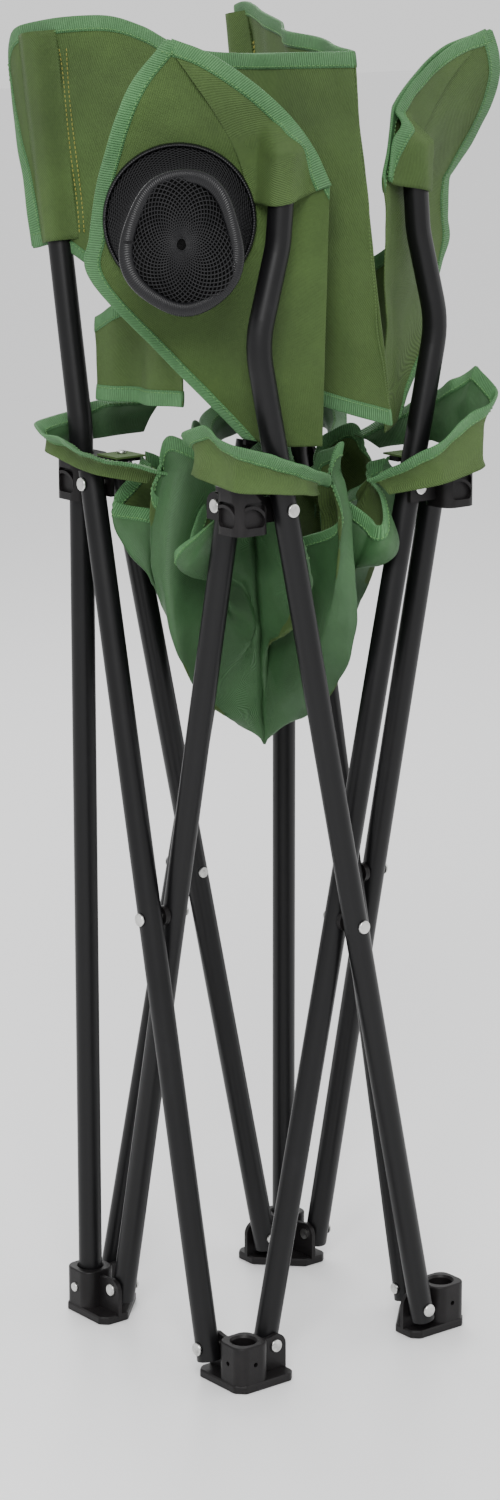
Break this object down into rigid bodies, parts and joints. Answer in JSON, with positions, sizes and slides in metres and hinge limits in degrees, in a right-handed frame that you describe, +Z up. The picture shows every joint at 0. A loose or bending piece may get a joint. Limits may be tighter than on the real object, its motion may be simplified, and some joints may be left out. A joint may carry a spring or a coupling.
{
  "type": "folding camp chair",
  "caption": "Folding camp chair on crossed steel tubes with moulded corners, a cloth seat, back and arms and a mesh cup holder, stored nearly folded.",
  "frame": {"origin": "on the floor, under the middle of the whole chair's bounding box as it stands nearly folded", "axes": "+Z up, the sitter faces -Y, +X is the sitter's left"},
  "size_m": [0.3182, 0.2774, 0.881],
  "materials": {
    "tube": "satin",
    "plastic": "satin",
    "rivet": "satin",
    "cloth": "matte",
    "binding": "matte",
    "mesh": "matte",
    "mesh_binding": "satin"
  },
  "bodies": {
    "root": {"foot_rear_right": "plastic", "back_post_right": "tube", "post_cap_right": "plastic", "foot_fasteners_rear_right": "rivet"},
    "right_inner_tube": {"right_inner_tube": "tube", "right_mid_rivet": "rivet", "right_mid_spacer": "plastic"},
    "right_outer_tube": {"right_outer_tube": "tube"},
    "front_inner_tube": {"front_inner_tube": "tube", "front_mid_rivet": "rivet", "front_mid_spacer": "plastic", "arm_tube_cap_left": "plastic"},
    "front_outer_tube": {"front_outer_tube": "tube", "arm_tube_cap_right": "plastic"},
    "left_inner_tube": {"left_inner_tube": "tube", "left_mid_rivet": "rivet", "left_mid_spacer": "plastic"},
    "left_outer_tube": {"left_outer_tube": "tube"},
    "rear_inner_tube": {"rear_inner_tube": "tube", "rear_mid_rivet": "rivet", "rear_mid_spacer": "plastic"},
    "rear_outer_tube": {"rear_outer_tube": "tube"},
    "hub_rear_right": {"hub_rear_right": "plastic", "hub_fasteners_rear_right": "rivet", "seat_corner_rear_right": "cloth"},
    "hub_front_right": {"hub_front_right": "plastic", "hub_fasteners_front_right": "rivet", "seat_corner_front_right": "cloth"},
    "foot_front_right": {"foot_front_right": "plastic", "foot_fasteners_front_right": "rivet"},
    "hub_front_left": {"hub_front_left": "plastic", "hub_fasteners_front_left": "rivet", "seat_corner_front_left": "cloth"},
    "foot_front_left": {"foot_front_left": "plastic", "foot_fasteners_front_left": "rivet"},
    "hub_rear_left": {"hub_rear_left": "plastic", "hub_fasteners_rear_left": "rivet", "seat_corner_rear_left": "cloth"},
    "foot_rear_left": {"foot_rear_left": "plastic", "foot_fasteners_rear_left": "rivet", "back_post_left": "tube", "post_cap_left": "plastic"},
    "seat_right": {"seat_panel_right": "cloth"},
    "seat_right_far": {"seat_binding_right": "binding"},
    "seat_front": {"seat_panel_front": "cloth"},
    "seat_front_far": {"seat_binding_front": "binding"},
    "seat_left": {"seat_panel_left": "cloth"},
    "seat_left_far": {"seat_binding_left": "binding"},
    "seat_rear": {"seat_panel_rear": "cloth"},
    "seat_rear_far": {"seat_binding_rear": "binding"},
    "back_right": {"back_half_right": "cloth"},
    "back_left": {"back_half_left": "cloth"},
    "arm_front_right": {"arm_front_right": "cloth", "cup_holder_ring": "mesh_binding", "cup_holder_bag": "mesh"},
    "arm_rear_right": {"arm_rear_right": "cloth"},
    "arm_middle_right": {"arm_middle_right": "cloth"},
    "arm_front_left": {"arm_front_left": "cloth"},
    "arm_rear_left": {"arm_rear_left": "cloth"},
    "arm_middle_left": {"arm_middle_left": "cloth"}
  },
  "joints": [
    {"name": "fold", "type": "hinge", "parent": "root", "child": "right_inner_tube", "pos_m": [-0.07387, 0.04587, 0.021], "axis": [1, 0, 0], "range_deg": [-2.5, 33], "deforming": ["seat_panel_right", "seat_panel_front", "seat_panel_left", "seat_panel_rear", "seat_binding_right", "seat_binding_front", "seat_binding_left", "seat_binding_rear", "back_half_right", "back_half_left", "arm_front_right", "arm_front_left", "arm_middle_right", "arm_middle_left", "arm_rear_right", "arm_rear_left"]},
    {"name": "right_crossing", "type": "hinge", "parent": "right_inner_tube", "child": "right_outer_tube", "pos_m": [-0.07387, -0.0138, 0.30173], "axis": [1, 0, 0], "range_deg": [-66.02, 5.02]},
    {"name": "rear_right_hub_pivot", "type": "hinge", "parent": "right_outer_tube", "child": "hub_rear_right", "pos_m": [-0.07387, 0.04587, 0.58246], "axis": [1, 0, 0], "range_deg": [-2.52, 33.02]},
    {"name": "front_right_foot_pivot", "type": "hinge", "parent": "right_outer_tube", "child": "foot_front_right", "pos_m": [-0.07387, -0.07347, 0.021], "axis": [1, 0, 0], "range_deg": [-2.52, 33.02]},
    {"name": "front_right_hub_pivot", "type": "hinge", "parent": "right_inner_tube", "child": "hub_front_right", "pos_m": [-0.07387, -0.07347, 0.58246], "axis": [1, 0, 0], "range_deg": [-33.02, 2.52]},
    {"name": "rear_foot_pivot", "type": "hinge", "parent": "root", "child": "rear_outer_tube", "pos_m": [-0.04787, 0.07187, 0.021], "axis": [0, -1, 0], "range_deg": [-33.02, 2.52]},
    {"name": "rear_crossing", "type": "hinge", "parent": "rear_outer_tube", "child": "rear_inner_tube", "pos_m": [0.0118, 0.07187, 0.30173], "axis": [0, -1, 0], "range_deg": [-5.02, 66.02]},
    {"name": "rear_left_hub_pivot", "type": "hinge", "parent": "rear_outer_tube", "child": "hub_rear_left", "pos_m": [0.07147, 0.07187, 0.58246], "axis": [0, -1, 0], "range_deg": [-2.52, 33.02]},
    {"name": "rear_left_foot_pivot", "type": "hinge", "parent": "rear_inner_tube", "child": "foot_rear_left", "pos_m": [0.07147, 0.07187, 0.021], "axis": [0, -1, 0], "range_deg": [-33.02, 2.52]},
    {"name": "front_foot_pivot", "type": "hinge", "parent": "foot_front_right", "child": "front_inner_tube", "pos_m": [-0.04787, -0.09947, 0.021], "axis": [0, 1, 0], "range_deg": [-2.52, 33.02]},
    {"name": "front_crossing", "type": "hinge", "parent": "front_inner_tube", "child": "front_outer_tube", "pos_m": [0.0118, -0.09947, 0.30173], "axis": [0, 1, 0], "range_deg": [-66.02, 5.02]},
    {"name": "front_left_foot_pivot", "type": "hinge", "parent": "front_outer_tube", "child": "foot_front_left", "pos_m": [0.07147, -0.09947, 0.021], "axis": [0, 1, 0], "range_deg": [-2.52, 33.02]},
    {"name": "front_left_hub_pivot", "type": "hinge", "parent": "front_inner_tube", "child": "hub_front_left", "pos_m": [0.07147, -0.09947, 0.58246], "axis": [0, 1, 0], "range_deg": [-33.02, 2.52]},
    {"name": "left_foot_pivot", "type": "hinge", "parent": "foot_front_left", "child": "left_inner_tube", "pos_m": [0.09747, -0.07347, 0.021], "axis": [-1, 0, 0], "range_deg": [-2.52, 33.02]},
    {"name": "left_crossing", "type": "hinge", "parent": "left_inner_tube", "child": "left_outer_tube", "pos_m": [0.09747, -0.0138, 0.30173], "axis": [-1, 0, 0], "range_deg": [-66.02, 5.02]},
    {"name": "seat_right_hang", "type": "hinge", "parent": "hub_rear_right", "child": "seat_right", "pos_m": [-0.04987, 0.04787, 0.59936], "axis": [0, -1, 0], "range_deg": [-5.51, 72.51]},
    {"name": "seat_right_spread", "type": "slide", "parent": "seat_right", "child": "seat_right_far", "axis": [0, -1, 0], "range_m": [-0.02201, 0.28684]},
    {"name": "seat_front_hang", "type": "hinge", "parent": "hub_front_right", "child": "seat_front", "pos_m": [-0.04987, -0.07547, 0.59936], "axis": [1, 0, 0], "range_deg": [-5.51, 72.51]},
    {"name": "seat_front_spread", "type": "slide", "parent": "seat_front", "child": "seat_front_far", "axis": [1, 0, 0], "range_m": [-0.02201, 0.28684]},
    {"name": "seat_left_hang", "type": "hinge", "parent": "hub_front_left", "child": "seat_left", "pos_m": [0.07347, -0.07547, 0.59936], "axis": [0, 1, 0], "range_deg": [-5.51, 72.51]},
    {"name": "seat_left_spread", "type": "slide", "parent": "seat_left", "child": "seat_left_far", "axis": [0, 1, 0], "range_m": [-0.02201, 0.28684]},
    {"name": "seat_rear_hang", "type": "hinge", "parent": "hub_rear_left", "child": "seat_rear", "pos_m": [0.07347, 0.04787, 0.59936], "axis": [-1, 0, 0], "range_deg": [-5.51, 72.51]},
    {"name": "seat_rear_spread", "type": "slide", "parent": "seat_rear", "child": "seat_rear_far", "axis": [-1, 0, 0], "range_m": [-0.02201, 0.28684]},
    {"name": "back_right_swing", "type": "hinge", "parent": "root", "child": "back_right", "pos_m": [-0.07387, 0.07187, 0.615], "axis": [0, 0.1736, 0.9848], "range_deg": [-5.17, 68.05]},
    {"name": "back_left_swing", "type": "hinge", "parent": "foot_rear_left", "child": "back_left", "pos_m": [0.09747, 0.07187, 0.615], "axis": [0, 0.1736, 0.9848], "range_deg": [-68.05, 5.17]},
    {"name": "arm_right_front_hang", "type": "hinge", "parent": "front_outer_tube", "child": "arm_front_right", "pos_m": [-0.0461, -0.10947, 0.832], "axis": [0.9859, -0.1583, -0.0542], "range_deg": [-6.46, 84.99]},
    {"name": "arm_right_rear_hang", "type": "hinge", "parent": "root", "child": "arm_rear_right", "pos_m": [-0.07387, 0.07892, 0.655], "axis": [-0.0508, -0.9951, -0.0844], "range_deg": [-6.88, 90.62]},
    {"name": "arm_right_spread", "type": "slide", "parent": "arm_rear_right", "child": "arm_middle_right", "axis": [-0.0024, -0.9961, 0.0883], "range_m": [-0.01507, 0.1953]},
    {"name": "arm_left_front_hang", "type": "hinge", "parent": "front_inner_tube", "child": "arm_front_left", "pos_m": [0.0697, -0.08947, 0.832], "axis": [0.9848, 0.1633, 0.0587], "range_deg": [-6.44, 84.8]},
    {"name": "arm_left_rear_hang", "type": "hinge", "parent": "foot_rear_left", "child": "arm_rear_left", "pos_m": [0.09747, 0.07892, 0.655], "axis": [-0.0475, 0.9955, 0.0821], "range_deg": [-6.88, 90.64]},
    {"name": "arm_left_spread", "type": "slide", "parent": "arm_rear_left", "child": "arm_middle_left", "axis": [0.0029, -0.9946, 0.1035], "range_m": [-0.01507, 0.1953]}
  ],
  "couplings": [
    {"joint": "right_crossing", "follows": "fold", "ratio": -2},
    {"joint": "rear_right_hub_pivot", "follows": "fold", "ratio": 1},
    {"joint": "front_right_foot_pivot", "follows": "fold", "ratio": 1},
    {"joint": "front_right_hub_pivot", "follows": "fold", "ratio": -1},
    {"joint": "rear_foot_pivot", "follows": "fold", "ratio": -1},
    {"joint": "rear_crossing", "follows": "fold", "ratio": 2},
    {"joint": "rear_left_hub_pivot", "follows": "fold", "ratio": 1},
    {"joint": "rear_left_foot_pivot", "follows": "fold", "ratio": -1},
    {"joint": "front_foot_pivot", "follows": "fold", "ratio": 1},
    {"joint": "front_crossing", "follows": "fold", "ratio": -2},
    {"joint": "front_left_foot_pivot", "follows": "fold", "ratio": 1},
    {"joint": "front_left_hub_pivot", "follows": "fold", "ratio": -1},
    {"joint": "left_foot_pivot", "follows": "fold", "ratio": 1},
    {"joint": "left_crossing", "follows": "fold", "ratio": -2},
    {"joint": "seat_right_hang", "follows": "fold", "ratio": 2.1966},
    {"joint": "seat_right_spread", "follows": "fold", "m_per_rad": 0.4975},
    {"joint": "seat_front_hang", "follows": "fold", "ratio": 2.1966},
    {"joint": "seat_front_spread", "follows": "fold", "m_per_rad": 0.4975},
    {"joint": "seat_left_hang", "follows": "fold", "ratio": 2.1966},
    {"joint": "seat_left_spread", "follows": "fold", "m_per_rad": 0.4975},
    {"joint": "seat_rear_hang", "follows": "fold", "ratio": 2.1966},
    {"joint": "seat_rear_spread", "follows": "fold", "m_per_rad": 0.4975},
    {"joint": "back_right_swing", "follows": "fold", "ratio": 2.0614},
    {"joint": "back_left_swing", "follows": "fold", "ratio": -2.0614},
    {"joint": "arm_right_front_hang", "follows": "fold", "ratio": 2.5748},
    {"joint": "arm_right_rear_hang", "follows": "fold", "ratio": 2.7454},
    {"joint": "arm_right_spread", "follows": "fold", "m_per_rad": 0.33857},
    {"joint": "arm_left_front_hang", "follows": "fold", "ratio": 2.569},
    {"joint": "arm_left_rear_hang", "follows": "fold", "ratio": 2.7459},
    {"joint": "arm_left_spread", "follows": "fold", "m_per_rad": 0.33857}
  ]
}
